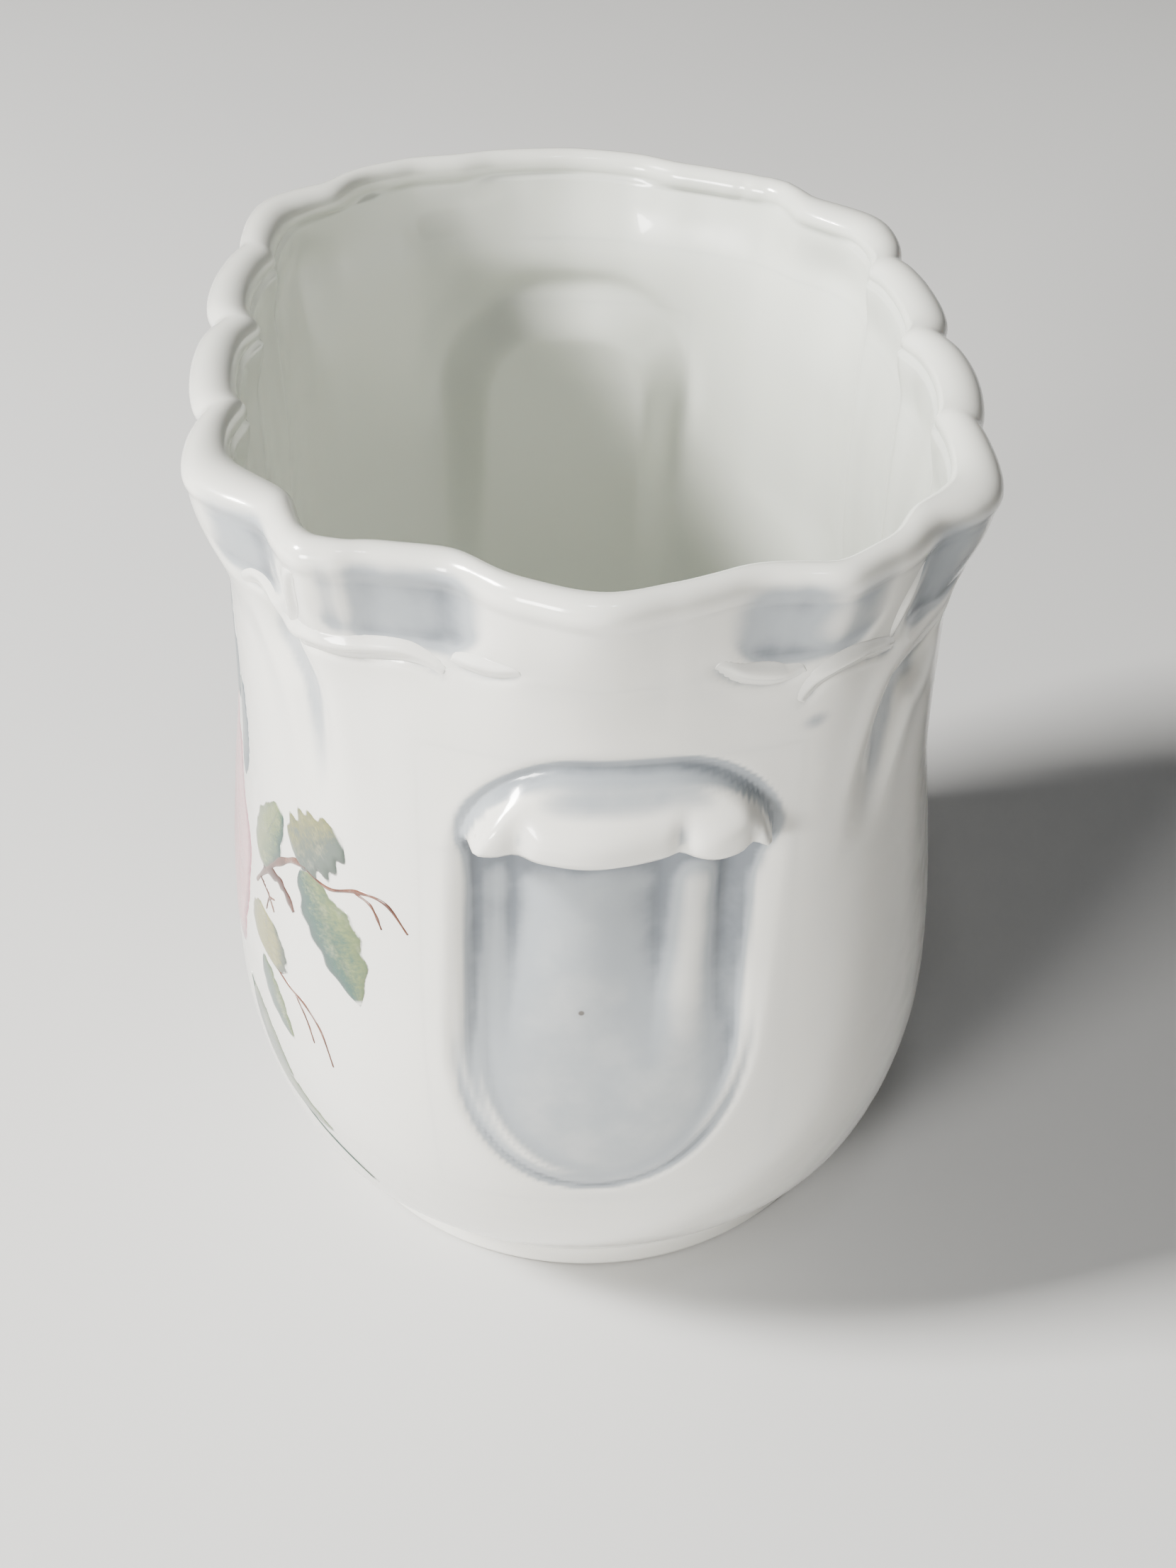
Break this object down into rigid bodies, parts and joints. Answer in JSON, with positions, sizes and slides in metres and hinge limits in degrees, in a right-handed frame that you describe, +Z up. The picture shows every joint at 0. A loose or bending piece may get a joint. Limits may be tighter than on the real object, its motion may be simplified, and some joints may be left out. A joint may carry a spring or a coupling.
{
  "type": "shaving mug",
  "caption": "Oval porcelain shaving mug with a scalloped beaded rim, moulded scrollwork, a moulded finger grip at each end and painted rose sprays.",
  "frame": {"origin": "centre of the foot ring, on the surface that the mug stands on", "axes": "+Z up through the mouth, +Y towards the back grip, -Y towards the front grip, +X to the right"},
  "size_m": [0.0735, 0.0976, 0.0964],
  "materials": {
    "porcelain_body": "clear gloss glaze over white porcelain",
    "porcelain_foot": "gloss glaze, wiped bare where it stands",
    "porcelain_lip": "clear gloss glaze, pooled bluish in the flutes",
    "porcelain_rim": "clear gloss glaze, thin on the bead",
    "porcelain_grip": "clear gloss glaze, pooled bluish in the recess",
    "porcelain_scroll": "clear gloss glaze over a moulded line",
    "enamel_rose": "thin rose-pink painted enamel, fired under a gloss",
    "enamel_rose_heart": "deeper rose-pink painted enamel",
    "enamel_dark_leaf": "dark blue-green painted enamel",
    "enamel_green_leaf": "grey-green painted enamel, shaded to yellow-green",
    "enamel_bud": "pale grey-green painted enamel",
    "enamel_twig": "thin red-brown painted line",
    "enamel_stem": "olive-grey painted wash"
  },
  "bodies": {
    "root": {"mug_body": "porcelain_body", "foot_ring": "porcelain_foot", "fluted_lip": "porcelain_lip", "rim_bead": "porcelain_rim", "front_grip_recess": "porcelain_grip", "front_grip_ledge": "porcelain_grip", "back_grip_recess": "porcelain_grip", "back_grip_ledge": "porcelain_grip", "front_left_scroll": "porcelain_scroll", "front_right_scroll": "porcelain_scroll", "back_left_scroll": "porcelain_scroll", "back_right_scroll": "porcelain_scroll", "rose_petals": "enamel_rose", "rose_heart": "enamel_rose_heart", "rose_leaves": "enamel_dark_leaf", "spray_leaves": "enamel_green_leaf", "rose_buds": "enamel_bud", "rose_twigs": "enamel_twig", "long_stem_leaf": "enamel_stem"}
  },
  "joints": []
}
